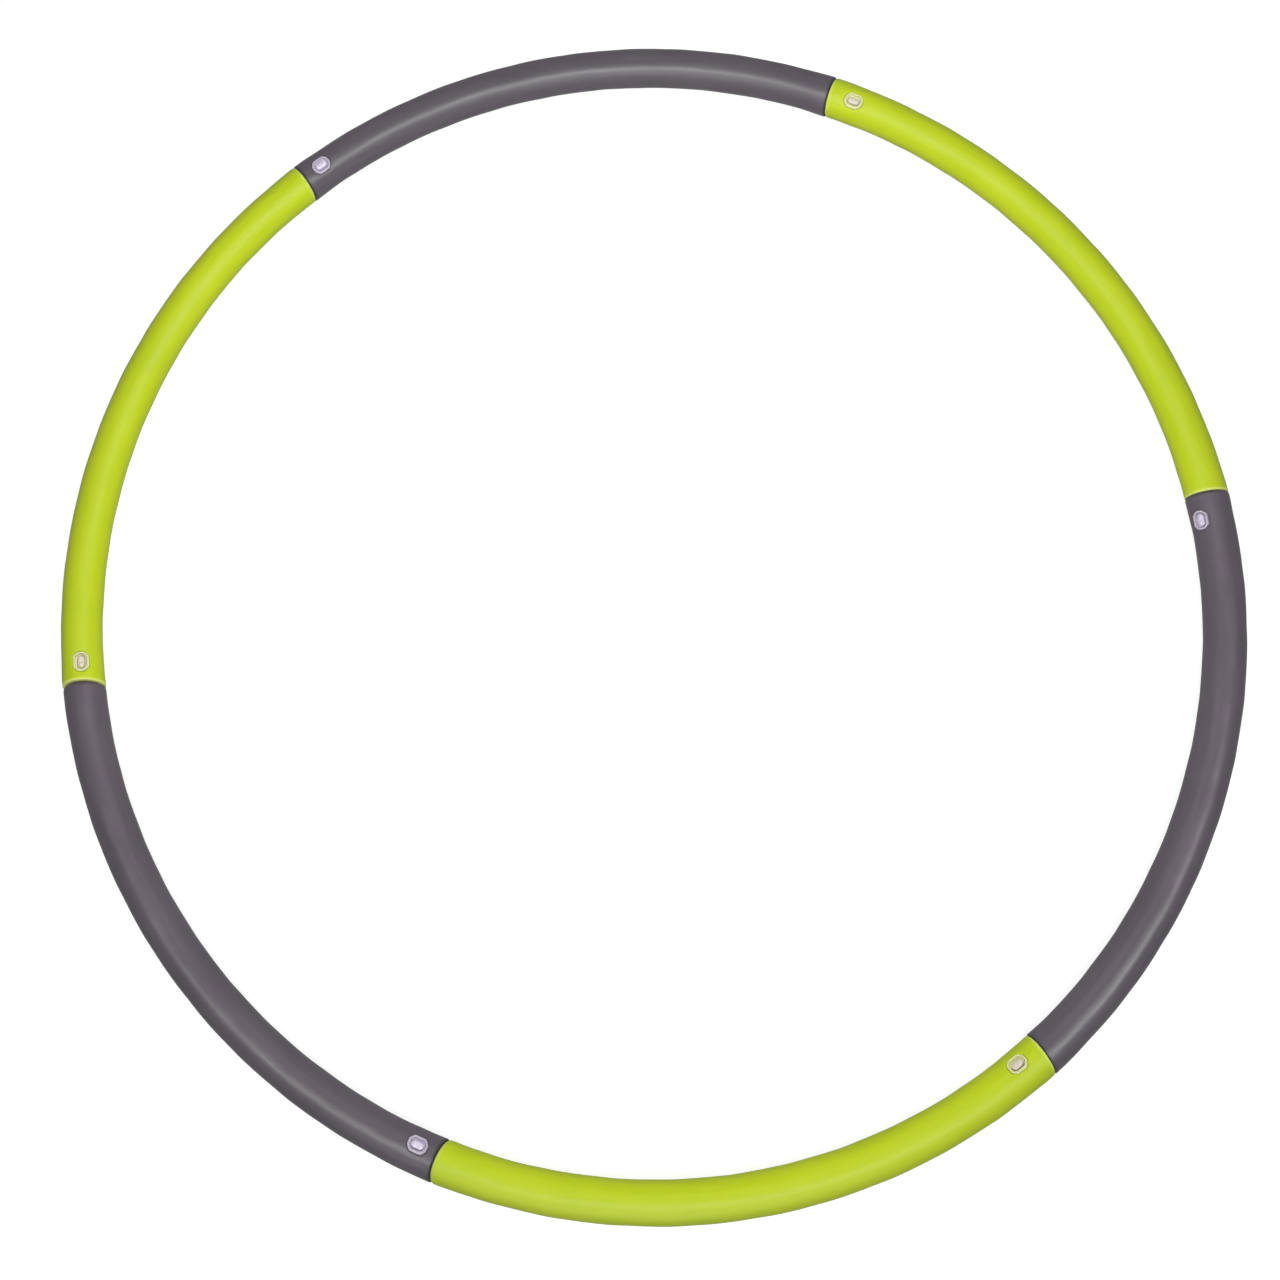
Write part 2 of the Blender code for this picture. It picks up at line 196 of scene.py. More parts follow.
# How closely the surfaces are divided
FOAM_AROUND = 80
CORE_AROUND = 48
TURNED_AROUND = 48
LOFT_AROUND = 96
BUTTON_AROUND = 72
LATCH_AROUND = 64
PIN_AROUND = 24
WINDOW_RINGS = 7                # between a window's patch and the window
WINDOW_CROWDING = 0.8           # below 1, they crowd towards the window
WINDOW_STEP = 0.0012
FOAM_BUTTON_END_STEP = 0.0013
FOAM_NEAR = 0.012               # beside the window and at the plug end the rings are closer
FOAM_NEAR_STEP = 0.0024
FOAM_STEP = 0.0048
FOAM_PLUG_END_STEP = 0.0016
FOAM_FACE_RING = 0.0004         # a ring on the end face, this far in from the rounding
FOAM_BORE_RING = 0.0009         # and another, this far out from the bore
FOAM_BORE_STEP = 0.012
BORE_END = 0.004                # the bores' own rings stop this far from an end
CORE_WINDOW_STEP = 0.0015
CORE_STEP = 0.008
PLUG_STEP = 0.002
STRIP_STEP = 0.002
FOLD_LEAD = 0.0002              # shortest run of strip before its fold
FOLD_STEPS = 8
RISE_STEPS = 12
CROWN_RINGS = 9

# The patch of surface that is meshed round a window: (half length, half turn)
FOAM_PATCH = (0.0120, math.pi / 4)
CORE_PATCH = (0.0090, math.pi / 4)
PLUG_PATCH = (0.0064, math.pi / 4)

SHARP_ANGLE = math.radians(38)
TINY = 1e-9
STEP_SLACK = 1e-6               # of a step, so that rounding doesn't add one

# A sleeve's two ends, along the tube from its window's middle
SLEEVE_START = -(BUTTON_SET - END_GAP)
SLEEVE_END = SECTION_TURN * RING - BUTTON_SET - END_GAP


# Places in the frame

def joint_facts():
    """Each section's plug-end joint angle, and its window's angle and roll, from the record's joints."""
    axes = {joint["name"]: Vector(joint["axis"]) for joint in frame["joints"]}
    plug_angles = {}
    for number in range(2, SECTIONS + 1):
        axis = axes[f"section_{number}_pull"]
        plug_angles[number] = math.atan2(-axis.x, axis.y)
    plug_angles[1] = plug_angles[2] - SECTION_TURN
    windows = {}
    for number in range(1, SECTIONS + 1):
        up = -axes[f"button_{number}_press"]
        windows[number] = (math.atan2(-up.y, -up.x), math.atan2(up.xy.length, up.z))
    return plug_angles, windows


PLUG_ANGLE, WINDOW = joint_facts()


def tube_frame(angle, roll):
    """Middle of the tube at an angle: X runs clockwise along it, Z points out at the roll inward of up."""
    outward = Vector((math.cos(angle), math.sin(angle), 0))
    along = Vector((math.sin(angle), -math.cos(angle), 0))
    up = Vector((0, 0, 1)) * math.cos(roll) - outward * math.sin(roll)
    matrix = Matrix((along, up.cross(along), up)).transposed().to_4x4()
    matrix.translation = outward * RING + Vector((0, 0, TUBE))
    return matrix


def before(number):
    """The section whose button end holds this section's plug."""
    return (number - 2) % SECTIONS + 1


class CurvedTube:
    """Places on a tube that follows the hoop, measured from a window's middle."""

    def __init__(self, number):
        self.angle, self.roll = WINDOW[number]

    def point(self, along, turn, radius):
        angle = self.angle - along / RING
        out = RING + radius * np.sin(turn - self.roll)
        high = TUBE + radius * np.cos(turn - self.roll)
        return np.stack([out * np.cos(angle), out * np.sin(angle), high], -1)

    def over(self, x, y, radius):
        """Where the surface of this radius passes over (x, y) of the window's plane."""
        along = np.array(x, float)
        turn = np.arcsin(y / radius)
        for _ in range(6):
            step = -along / RING
            out = RING + radius * np.sin(turn - self.roll)
            far = out * np.cos(step) - RING
            high = radius * np.cos(turn - self.roll)
            side = far * math.cos(self.roll) + high * math.sin(self.roll)
            along = along + (x + out * np.sin(step))
            turn = turn + (y - side) / (radius * np.cos(turn))
        return along, turn


class SleeveTube(CurvedTube):
    """A foam sleeve's tube, whose ends are skewed to meet their neighbours'."""

    def __init__(self, number):
        super().__init__(number)
        self.ends = (
            (SLEEVE_START, 1, JOINT_SKEW[number % SECTIONS]),
            (SLEEVE_END, -1, JOINT_SKEW[number - 1]),
        )

    def skew(self, along, turn, radius):
        """How far a place is moved clockwise."""
        up = radius * np.cos(turn - self.roll)
        out = radius * np.sin(turn - self.roll)
        moved = 0
        for end, inward, (lean, slant) in self.ends:
            near = np.clip(1 - (along - end) * inward / SKEW_REACH, 0, 1)
            moved = moved - near * (lean * up + slant * out)
        return moved

    def point(self, along, turn, radius):
        return super().point(along + self.skew(along, turn, radius), turn, radius)

    def end_round(self, which):
        """The outer rounding of the button end (0) or the plug end (1)."""
        _, inward, (lean, _) = self.ends[which]
        return FOAM_ROUND + FOAM_ROUND_LEANING * max(0.0, lean * inward)

    def painted_end_rim(self, place):
        """1 on a sleeve's end face and down to 0 further in, at a place of the finished sleeve: the mask of
        the painted end rim, a painted highlight on lime and a painted shadow on grey.
        """
        out = np.hypot(place[:, 0], place[:, 1]) - RING
        up = place[:, 2] - TUBE
        middle = (SLEEVE_START + SLEEVE_END) / 2 / RING
        angle = self.angle - middle - np.arctan2(place[:, 1], place[:, 0])
        angle = (angle + math.pi) % (2 * math.pi) - math.pi + middle
        mark = 0
        for which, (end, inward, (lean, slant)) in enumerate(self.ends):
            reach = PAINTED_RIM_REACH + PAINTED_RIM_ROUND * self.end_round(which)
            beyond = (angle * RING + lean * up + slant * out - end) * inward
            mark = mark + np.exp(-(np.maximum(beyond, 0) / reach) ** 2)
        return np.minimum(mark, 1)


class StraightTube:
    """Places on a plug in its joint's frame, measured from the middle of its slot."""

    def point(self, along, turn, radius):
        return np.stack([along + BUTTON_SET + 0 * turn, radius * np.sin(turn), radius * np.cos(turn)], -1)

    def over(self, x, y, radius):
        return np.array(x, float), np.arcsin(y / radius)


# Outlines about a window's middle, as a radius for each direction

ROUNDED = 26.0                  # how tightly an outline's corners are rounded: higher is sharper


def soft_least(*lengths):
    return sum(length ** -ROUNDED for length in lengths) ** (-1 / ROUNDED)


def bezel_outline(grow=0.0):
    """A box with its corners cut off, all of it moved outward by grow."""
    a = BEZEL_SIZE[0] / 2 + grow
    b = BEZEL_SIZE[1] / 2 + grow
    cut = BEZEL_SIZE[0] / 2 + BEZEL_SIZE[1] / 2 - BEZEL_CORNER + grow * math.sqrt(2)

    def reach(direction):
        c = np.abs(np.cos(direction)) + TINY
        s = np.abs(np.sin(direction)) + TINY
        return soft_least(a / c, b / s, cut / (c + s))
    return reach


def stadium(size, grow=0.0):
    """Straight sides joined by half circles."""
    radius = size[1] / 2 + grow
    half = size[0] / 2 + grow - radius

    def reach(direction):
        c = np.abs(np.cos(direction))
        s = np.abs(np.sin(direction)) + TINY
        side = radius / s
        round_end = half * c + np.sqrt(np.maximum(radius ** 2 - (half * s) ** 2, 0))
        return np.where(side * c <= half, side, round_end)
    return reach


# Mesh building

class Shape:
    """Vertices and faces collected for one piece."""

    def __init__(self):
        self.points = []
        self.faces = []
        self.count = 0

    def add(self, points):
        """Adds rows of points and returns their numbers."""
        points = np.asarray(points, float)
        numbers = self.count + np.arange(len(points))
        self.points.append(points)
        self.count += len(points)
        return numbers

    def strip(self, first, second):
        """Quads between two closed rows of vertex numbers."""
        near = np.append(first, first[0])
        far = np.append(second, second[0])
        for i in range(len(first)):
            self.faces.append((near[i], near[i + 1], far[i + 1], far[i]))

    def cap(self, row):
        self.faces.append(tuple(row))

    def mesh(self, name):
        mesh = bpy.data.meshes.new(name)
        faces = [tuple(map(int, face)) for face in self.faces]
        mesh.from_pydata(np.concatenate(self.points).tolist(), [], faces)
        work = bmesh.new()
        work.from_mesh(mesh)
        unused = [vertex for vertex in work.verts if not vertex.link_faces]
        bmesh.ops.delete(work, geom=unused, context="VERTS")
        bmesh.ops.recalc_face_normals(work, faces=work.faces)
        if work.calc_volume(signed=True) < 0:
            bmesh.ops.reverse_faces(work, faces=work.faces)
        work.to_mesh(mesh)
        work.free()
        smooth(mesh)
        return mesh


def smooth(mesh):
    mesh.shade_smooth()
    mesh.set_sharp_from_angle(angle=SHARP_ANGLE)


def piece(name, mesh, matrix=None):
    thing = bpy.data.objects.new(name, mesh)
    bpy.context.scene.collection.objects.link(thing)
    if matrix is not None:
        mesh.transform(matrix)
    return thing


def boolean(thing, other, operation):
    """Cuts or joins another solid, which is then removed."""
    step = thing.modifiers.new("boolean", "BOOLEAN")
    step.object = other
    step.operation = operation
    step.solver = "MANIFOLD"
    bpy.context.view_layer.update()
    graph = bpy.context.evaluated_depsgraph_get()
    mesh = bpy.data.meshes.new_from_object(thing.evaluated_get(graph))
    thing.modifiers.clear()
    thing.data = mesh
    bpy.data.objects.remove(other)
    smooth(mesh)


def spread(start, end, step):
    """Even places from start up to, but not including, end, no further apart than step."""
    count = max(1, math.ceil(abs(end - start) / step - STEP_SLACK))
    return [start + (end - start) * i / count for i in range(count)]


def quarter(radius, steps):
    """A rounded edge as (distance back from the edge, drop from the surface), surface first."""
    angles = [math.pi / 2 * i / steps for i in range(steps + 1)]
    return [(radius * (1 - math.sin(a)), radius * (1 - math.cos(a))) for a in angles]


def loft(loops, closed_ends=True, around=LOFT_AROUND):
    """A solid through loops of (outline, height), where height may depend on x and y."""
    shape = Shape()
    direction = np.arange(around) * 2 * math.pi / around
    rows = []
    for reach, height in loops:
        out = reach(direction)
        x = out * np.cos(direction)
        y = out * np.sin(direction)
        z = height(x, y) if callable(height) else np.full(around, height)
        rows.append(shape.add(np.stack([x, y, z], -1)))
    for near, far in zip(rows, rows[1:]):
        shape.strip(near, far)
    if closed_ends:
        shape.cap(rows[0])
        shape.cap(rows[-1])
    else:
        shape.strip(rows[-1], rows[0])
    return shape


def ring(along, radius, turn):
    """A circle about X, in a frame's own axes."""
    return np.stack([np.full(len(turn), along), radius * np.sin(turn), radius * np.cos(turn)], -1)


def turned(profile, around=TURNED_AROUND):
    """A closed profile of (radius, distance) turned about X, in a frame's own axes."""
    shape = Shape()
    turn = np.arange(around) * 2 * math.pi / around
    rows = [shape.add(ring(along, radius, turn)) for radius, along in profile]
    for near, far in zip(rows, rows[1:] + rows[:1]):
        shape.strip(near, far)
    return shape


# Tubes with a window

def plain(radius):
    return lambda along, turn: np.full(np.shape(turn), radius)


def level(places):
    """Stations that lie on the surface itself."""
    return [(along, 0.0) for along in places]


def windowed_tube(tube, outer, bore, outer_radius, bore_radius, reach, window, around, lip=0.0):
    """A tube with a window through its wall.

    outer and bore list (distance, offset) along the two surfaces, one up and the other back. window is
    (half length, half turn) of the patch of surface that is meshed round the opening instead of square on.
    """
    half_length, half_turn = window
    turn = (np.arange(around) - around // 2) * 2 * math.pi / around
    in_patch = np.abs(turn) <= half_turn + TINY
    shape = Shape()
    rows = []
    places = []
    for side, stations in ((outer_radius, outer), (bore_radius, bore)):
        for along, offset in stations:
            distance = np.full(around, along)
            rows.append(shape.add(tube.point(distance, turn, side(distance, turn) + offset)))
            places.append((side is outer_radius, along))
    count = len(rows)
    inside = [abs(along) <= half_length + TINY for _, along in places]
    for i in range(count):
        j = (i + 1) % count
        same_side = places[i][0] == places[j][0]
        for k in range(around):
            m = (k + 1) % around
            if same_side and inside[i] and inside[j] and in_patch[k] and in_patch[m]:
                continue
            shape.faces.append((rows[i][k], rows[i][m], rows[j][m], rows[j][k]))

    columns = np.nonzero(in_patch)[0]

    def border(on_outer):
        """Vertex numbers and places round the patch, the same way about on both surfaces."""
        chosen = [i for i in range(count) if places[i][0] == on_outer and inside[i]]
        chosen.sort(key=lambda i: places[i][1])
        low, high = chosen[0], chosen[-1]
        path = [(low, k) for k in columns[:-1]]
        path += [(i, columns[-1]) for i in chosen[:-1]]
        path += [(high, k) for k in columns[:0:-1]]
        path += [(i, columns[0]) for i in chosen[:0:-1]]
        numbers = np.array([rows[i][k] for i, k in path])
        return numbers, np.array([places[i][1] for i, k in path]), turn[[k for i, k in path]]

    edge, edge_along, edge_turn = border(True)
    middle = outer_radius(np.zeros(1), np.zeros(1))[0]
    direction = np.arctan2(middle * np.sin(edge_turn), edge_along)
    far = reach(direction)

    def over(grow, radius):
        return tube.over((far + grow) * np.cos(direction), (far + grow) * np.sin(direction), radius)

    last = edge
    start_along, start_turn = over(lip, middle)
    for i in range(1, WINDOW_RINGS):
        share = (i / WINDOW_RINGS) ** WINDOW_CROWDING
        along = edge_along + (start_along - edge_along) * share
        turned_by = edge_turn + (start_turn - edge_turn) * share
        row = shape.add(tube.point(along, turned_by, outer_radius(along, turned_by)))
        shape.strip(last, row)
        last = row
    for back, drop in quarter(lip, steps=6) if lip else [(0.0, 0.0)]:
        along, turned_by = over(back, middle)
        row = shape.add(tube.point(along, turned_by, outer_radius(along, turned_by) - drop))
        shape.strip(last, row)
        last = row
    inner = bore_radius(np.zeros(1), np.zeros(1))[0]
    along, turned_by = over(0.0, inner)
    row = shape.add(tube.point(along, turned_by, bore_radius(along, turned_by)))
    shape.strip(last, row)
    last = row
    bore_edge, bore_along, bore_turn = border(False)
    middle_along = (along + bore_along) / 2
    middle_turn = (turned_by + bore_turn) / 2
    row = shape.add(tube.point(middle_along, middle_turn, bore_radius(middle_along, middle_turn)))
    shape.strip(last, row)
    shape.strip(row, bore_edge)
    return shape


# Foam sleeves

def foam_surface(number):
    """Radius of a sleeve's skin: round, a little uneven, fuller by the joints, drawn in by the bezel."""
    reach = bezel_outline(WINDOW_GAP)

    def radius(along, turn):
        swell = 0
        for end in (SLEEVE_START, SLEEVE_END):
            swell = swell + FOAM_SWELL * np.exp(-((along - end) / FOAM_SWELL_REACH) ** 2)
        wave = 0
        for share, rate, shift, times, sway in FOAM_WAVES:
            phase = along * rate + shift * number + times * turn + sway * np.sin(turn + number)
            wave = wave + share * np.sin(phase)
        x = along
        y = TUBE * np.sin(turn)
        beyond = np.hypot(x, y) - reach(np.arctan2(y, x))
        near = np.exp(-np.maximum(beyond, 0) / FOAM_DIP_REACH)
        dip = FOAM_DIP * np.where(np.cos(turn) > 0, near, 0)
        return TUBE + swell + FOAM_WAVE * wave - dip
    return radius


def foam_sleeve(number):
    tube = SleeveTube(number)
    half = FOAM_PATCH[0]
    first = tube.end_round(0)
    last = tube.end_round(1)
    flat = spread(SLEEVE_START + first, -half, FOAM_BUTTON_END_STEP)
    flat += spread(-half, half, WINDOW_STEP)
    flat += spread(half, half + FOAM_NEAR, FOAM_NEAR_STEP)
    flat += spread(half + FOAM_NEAR, SLEEVE_END - FOAM_NEAR, FOAM_STEP)
    flat += spread(SLEEVE_END - FOAM_NEAR, SLEEVE_END - last, FOAM_PLUG_END_STEP)
    outer = [(SLEEVE_START, -first - FOAM_FACE_RING)]
    outer += [(SLEEVE_START + back, -drop) for back, drop in reversed(quarter(first, steps=7)[1:])]
    outer += level(flat)
    outer += [(SLEEVE_END - back, -drop) for back, drop in quarter(last, steps=7)]
    outer += [(SLEEVE_END, -last - FOAM_FACE_RING)]
    soft = quarter(FOAM_BORE_ROUND, steps=3)
    bore = [(SLEEVE_END, FOAM_BORE_RING)]
    bore += [(SLEEVE_END - back, drop) for back, drop in reversed(soft)]
    bore += level(reversed(spread(half, SLEEVE_END - BORE_END, FOAM_BORE_STEP)[1:]))
    bore += level(reversed(spread(-half, half, WINDOW_STEP) + [half]))
    bore += level([SLEEVE_START + BORE_END])
    bore += [(SLEEVE_START + back, drop) for back, drop in soft]
    bore += [(SLEEVE_START, FOAM_BORE_RING)]
    mesh = windowed_tube(
        tube, outer, bore, foam_surface(number), plain(FOAM_BORE),
        bezel_outline(WINDOW_GAP), FOAM_PATCH, FOAM_AROUND, lip=FOAM_LIP,
    ).mesh("foam")
    places = np.array([vertex.co for vertex in mesh.vertices])
    # mask of the painted end rim: a painted highlight on the lime ends, a painted shadow in the grey ends'
    # joint crease
    mesh.attributes.new("painted_end_rim", "FLOAT", "POINT").data.foreach_set("value", tube.painted_end_rim(places))
    return mesh


# Core tubes, plugs, pins and bushes

def core_tube(number):
    half = CORE_PATCH[0]
    edge = quarter(SMALL_EDGE, steps=2)
    far_part = spread(half, SLEEVE_END - BORE_END, CORE_STEP)
    outer = [(SLEEVE_START + back, -drop) for back, drop in reversed(edge)]
    outer += level(spread(-half, half, CORE_WINDOW_STEP) + far_part)
    outer += [(SLEEVE_END - back, -drop) for back, drop in edge]
    bore = [(SLEEVE_END - back, drop) for back, drop in reversed(edge)]
    bore += level(reversed(far_part[1:]))
    bore += level(reversed(spread(-half, half, CORE_WINDOW_STEP) + [half]))
    bore += [(SLEEVE_START + back, drop) for back, drop in edge]
    return windowed_tube(
        CurvedTube(number), outer, bore, plain(CORE_RADIUS), plain(CORE_BORE),
        stadium(BEZEL_NECK, WINDOW_GAP), CORE_PATCH, CORE_AROUND,
    )


def plug():
    """The plug, along X of its joint's frame: the spigot and its slot ahead, the collar and tail behind."""
    half = PLUG_PATCH[0]
    tip = SPIGOT_LENGTH - BUTTON_SET
    joint = -BUTTON_SET
    tail = joint - TAIL_END
    back_face = joint - COLLAR_LENGTH
    face = joint - END_GAP
    collar = COLLAR_RADIUS - SPIGOT_RADIUS
    by_slot = spread(-half, half, WINDOW_STEP) + [half]
    outer = [(tail, -TAIL_EDGE), (tail + TAIL_EDGE, 0.0), (back_face, 0.0)]
    outer += [(back_face, collar - SMALL_EDGE), (back_face + SMALL_EDGE, collar)]
    outer += [(face - SMALL_EDGE, collar), (face, collar - SMALL_EDGE)]
    outer += [(face, COLLAR_FILLET), (joint, 0.0)]
    outer += level(spread(joint + PLUG_STEP / 2, -half, PLUG_STEP) + by_slot)
    outer += [(tip - back, -drop) for back, drop in quarter(SPIGOT_NOSE, steps=6)]
    bore = [(tip, SMALL_EDGE), (tip - SMALL_EDGE, 0.0)]
    bore += level(reversed(by_slot))
    bore += [(joint, 0.0), (tail + SMALL_EDGE, 0.0), (tail, SMALL_EDGE)]
    return windowed_tube(
        StraightTube(), outer, bore, plain(SPIGOT_RADIUS), plain(PLUG_BORE),
        stadium(LATCH_SIZE, WINDOW_GAP), PLUG_PATCH, CORE_AROUND, lip=SLOT_EDGE,
    )


def across(matrix):
    """A joint's frame turned so that X runs across the tube at its pin."""
    return matrix @ Matrix.Translation((-PIN_SET, 0, 0)) @ Matrix.Rotation(math.pi / 2, 4, "Z")


def pin_drill(matrix):
    """The cutter for the pin's hole, which reaches out on both sides of the tube."""
    shape = Shape()
    turn = (np.arange(DRILL_SIDES) + DRILL_TURN) * 2 * math.pi / DRILL_SIDES
    rows = [shape.add(ring(end, PIN_RADIUS + PIN_GAP, turn)) for end in DRILL_ENDS]
    shape.strip(*rows)
    for row in rows:
        shape.cap(row)
    return piece("pin_drill", shape.mesh("pin_drill"), across(matrix))


def plug_pin():
    """A rolled spring pin with rounded ends."""
    edge = quarter(PIN_EDGE, steps=3)
    profile = [(PIN_RADIUS - drop, back - PIN_HALF_LENGTH) for back, drop in reversed(edge)]
    profile += [(PIN_RADIUS - drop, PIN_HALF_LENGTH - back) for back, drop in edge]
    profile += [(PIN_BORE, PIN_HALF_LENGTH), (PIN_BORE, -PIN_HALF_LENGTH)]
    return turned(profile, around=PIN_AROUND)


def mouth_bush():
    """The guide ring, from the joint's plane back along +X into the tube."""
    near = END_GAP
    far = END_GAP + BUSH_LENGTH
    profile = [(BUSH_RADIUS - SMALL_EDGE, near), (BUSH_RADIUS, near + SMALL_EDGE)]
    profile += [(BUSH_RADIUS, far - SMALL_EDGE), (BUSH_RADIUS - SMALL_EDGE, far)]
    profile += [(BUSH_BORE, far)]
    profile += [(BUSH_BORE + drop, near + back) for back, drop in quarter(BUSH_MOUTH, steps=4)]
    return turned(profile)


# Bezel, push button and latch

def rim_height(drop):
    """The rim's height at a place, lowered by drop, following the tube's roundness."""
    half = BEZEL_SIZE[1] / 2
    return lambda x, y: BEZEL_TOP - drop - BEZEL_SAG * (y / half) ** 2


def bezel():
    loops = [(bezel_outline(), BEZEL_SEAT)]
    for inset, drop in reversed(quarter(RIM_EDGE, steps=5)):
        loops.append((bezel_outline(-inset), rim_height(drop)))
    for back, drop in quarter(RIM_INNER_EDGE, steps=4):
        loops.append((bezel_outline(back - RIM_WIDTH), rim_height(drop)))
    for inward, up in GROOVE_FILLET:
        loops.append((bezel_outline(-RIM_WIDTH - GROOVE_DRAFT - inward), GROOVE_FLOOR + up))
    loops.append((stadium(BUTTON_SIZE, BUTTON_GAP + GROOVE_EDGE), GROOVE_FLOOR))
    loops.append((stadium(BUTTON_SIZE, BUTTON_GAP), GROOVE_FLOOR - GROOVE_EDGE))
    loops.append((stadium(BUTTON_SIZE, BUTTON_GAP), BEZEL_CATCH_TOP))
    loops.append((stadium(BEZEL_CATCH), BEZEL_CATCH_TOP))
    loops.append((stadium(BEZEL_CATCH), BEZEL_FOOT))
    loops.append((stadium(BEZEL_NECK), BEZEL_FOOT))
    loops.append((stadium(BEZEL_NECK), BEZEL_SEAT))
    return loft(loops, closed_ends=False)


def button_top(drop):
    """The cap's height at a place: a low crown with two finger lobes along the tube."""
    def height(x, y):
        along = (x / BUTTON_SIZE[0] * 2) ** 2
        around = (y / BUTTON_SIZE[1] * 2) ** 2
        crown = BUTTON_CROWN * (1 - along * CROWN_ALONG - around)
        lobes = 0
        for side in (-1, 1):
            away = ((x - side * LOBE_SET) / LOBE_SPREAD) ** 2 + (y / LOBE_SPREAD) ** 2
            lobes = lobes + LOBE_HEIGHT * np.exp(-away ** 2 * LOBE_STEEPNESS)
        return BUTTON_SHOULDER - drop + crown + lobes
    return height


def push_button():
    loops = [(stadium(BUTTON_SIZE, -SMALL_EDGE), BUTTON_FOOT)]
    loops.append((stadium(BUTTON_SIZE), BUTTON_FOOT + SMALL_EDGE))
    loops.append((stadium(BUTTON_SIZE), FLANGE_LOW))
    loops.append((stadium(FLANGE_SIZE), FLANGE_LOW))
    loops.append((stadium(FLANGE_SIZE), FLANGE_HIGH))
    loops.append((stadium(BUTTON_SIZE), FLANGE_HIGH))
    for inset, drop in reversed(quarter(BUTTON_EDGE, steps=5)):
        loops.append((stadium(BUTTON_SIZE, -inset), button_top(drop)))
    full = stadium(BUTTON_SIZE, -BUTTON_EDGE)
    for i in range(1, CROWN_RINGS):
        share = 1 - i / CROWN_RINGS
        loops.append((lambda direction, share=share: full(direction) * share, button_top(0)))
    return loft(loops, around=BUTTON_AROUND)


def strip_route():
    """Middle of the folded strip's thickness, as (x, z) of the joint's frame, with a round fold."""
    points = [(x, STRIP_LOW) for x in spread(STRIP_START, STRIP_FOLD + FOLD_LEAD, STRIP_STEP)]
    for i in range(FOLD_STEPS + 1):
        angle = -math.pi / 2 - math.pi * i / FOLD_STEPS
        x = STRIP_FOLD + STRIP_BEND * math.cos(angle)
        points.append((x, STRIP_LOW + STRIP_BEND * (1 + math.sin(angle))))
    start_x, start_z = points[-1]
    for i in range(1, RISE_STEPS + 1):
        share = i / RISE_STEPS
        ease = share * share * (3 - 2 * share)
        x = start_x + (STRIP_RISE_END - start_x) * share
        points.append((x, start_z + (STRIP_HIGH - start_z) * ease))
    points += [(x, STRIP_HIGH) for x in spread(STRIP_RISE_END, STRIP_END, STRIP_STEP)[1:]]
    points.append((STRIP_END, STRIP_HIGH))
    return points


def latch_strip():
    route = np.array(strip_route())
    ahead = np.gradient(route, axis=0)
    ahead /= np.linalg.norm(ahead, axis=1)[:, None]
    side = STRIP_WIDTH / 2
    half = STRIP_THICKNESS / 2
    section = [
        (side - STRIP_EDGE, half), (side, half - STRIP_EDGE), (side, STRIP_EDGE - half),
        (side - STRIP_EDGE, -half), (STRIP_EDGE - side, -half), (-side, STRIP_EDGE - half),
        (-side, half - STRIP_EDGE), (STRIP_EDGE - side, half),
    ]
    shape = Shape()
    rows = []
    for (x, z), (dx, dz) in zip(route, ahead):
        rows.append(shape.add([(x - dz * up, y, z + dx * up) for y, up in section]))
    for near, far in zip(rows, rows[1:]):
        shape.strip(near, far)
    shape.cap(rows[0])
    shape.cap(rows[-1])
    return shape


def latch_block():
    loops = [(stadium(LATCH_SIZE), LATCH_FOOT)]
    for inset, drop in reversed(quarter(LATCH_EDGE, steps=4)):
        loops.append((stadium(LATCH_SIZE, -inset), LATCH_TOP - drop))
    return loft(loops, around=LATCH_AROUND)


# Materials. A noise is (scale, detail, roughness), a band is the part of it that is used, from low to
# high, and a relief is (strength, distance).

FULL = (0.0, 1.0)
FOAM_CLOUDS = (11.0, 3.0, 0.55)
FOAM_CLOUD_BAND = (0.32, 0.68)
FOAM_STREAKS = (230.0, 2.0, 0.6)
FOAM_STREAK_STRETCH = 14.0
FOAM_STREAK_BAND = (0.35, 0.75)
FOAM_STREAK_SHARE = (0.0, 0.35)
FOAM_STREAK_RELIEF = (0.12, 0.0002)
FOAM_GRAIN = (1500.0, 3.0, 0.65)
FOAM_GRAIN_SHADE = (0.94, 1.05)
FOAM_GRAIN_ROUGHNESS = (-0.03, 0.05)
FOAM_GRAIN_RELIEF = (0.22, 0.00012)
FOAM_CELLS = 1100.0
FOAM_CELL_SHARE = 0.6
FOAM_RIPPLES = (75.0, 2.0, 0.5)
FOAM_RIPPLE_RELIEF = (0.25, 0.0004)
FOAM_SHEEN = 0.06
FOAM_SHEEN_ROUGHNESS = 0.5
PLASTIC_CLOUDS = (140.0, 3.0, 0.5)
PLASTIC_CLOUD_FLOW = 0.4
PLASTIC_CLOUD_BAND = (0.35, 0.65)
PLASTIC_CLOUD_RELIEF = (0.10, 0.0001)
PLASTIC_GRAIN = (2600.0, 2.0, 0.6)
PLASTIC_GRAIN_RELIEF = (0.10, 0.00006)
PLASTIC_DEPTH = (0.0012, 0.0010, 0.0010)
STEEL_LINES = (4200.0, 2.0, 0.6)
STEEL_LINE_STRETCH = 30.0
STEEL_LINE_RELIEF = (0.15, 0.00004)
STEEL_STAINS = (260.0, 3.0, 0.6)
STEEL_STAIN_BAND = (0.35, 0.7)
MIDDLE_BAND = (0.3, 0.7)

# Sockets of the Mix node when it mixes colours
MIX_SHARE, MIX_FIRST, MIX_SECOND = 0, 6, 7
MIX_RESULT = 2


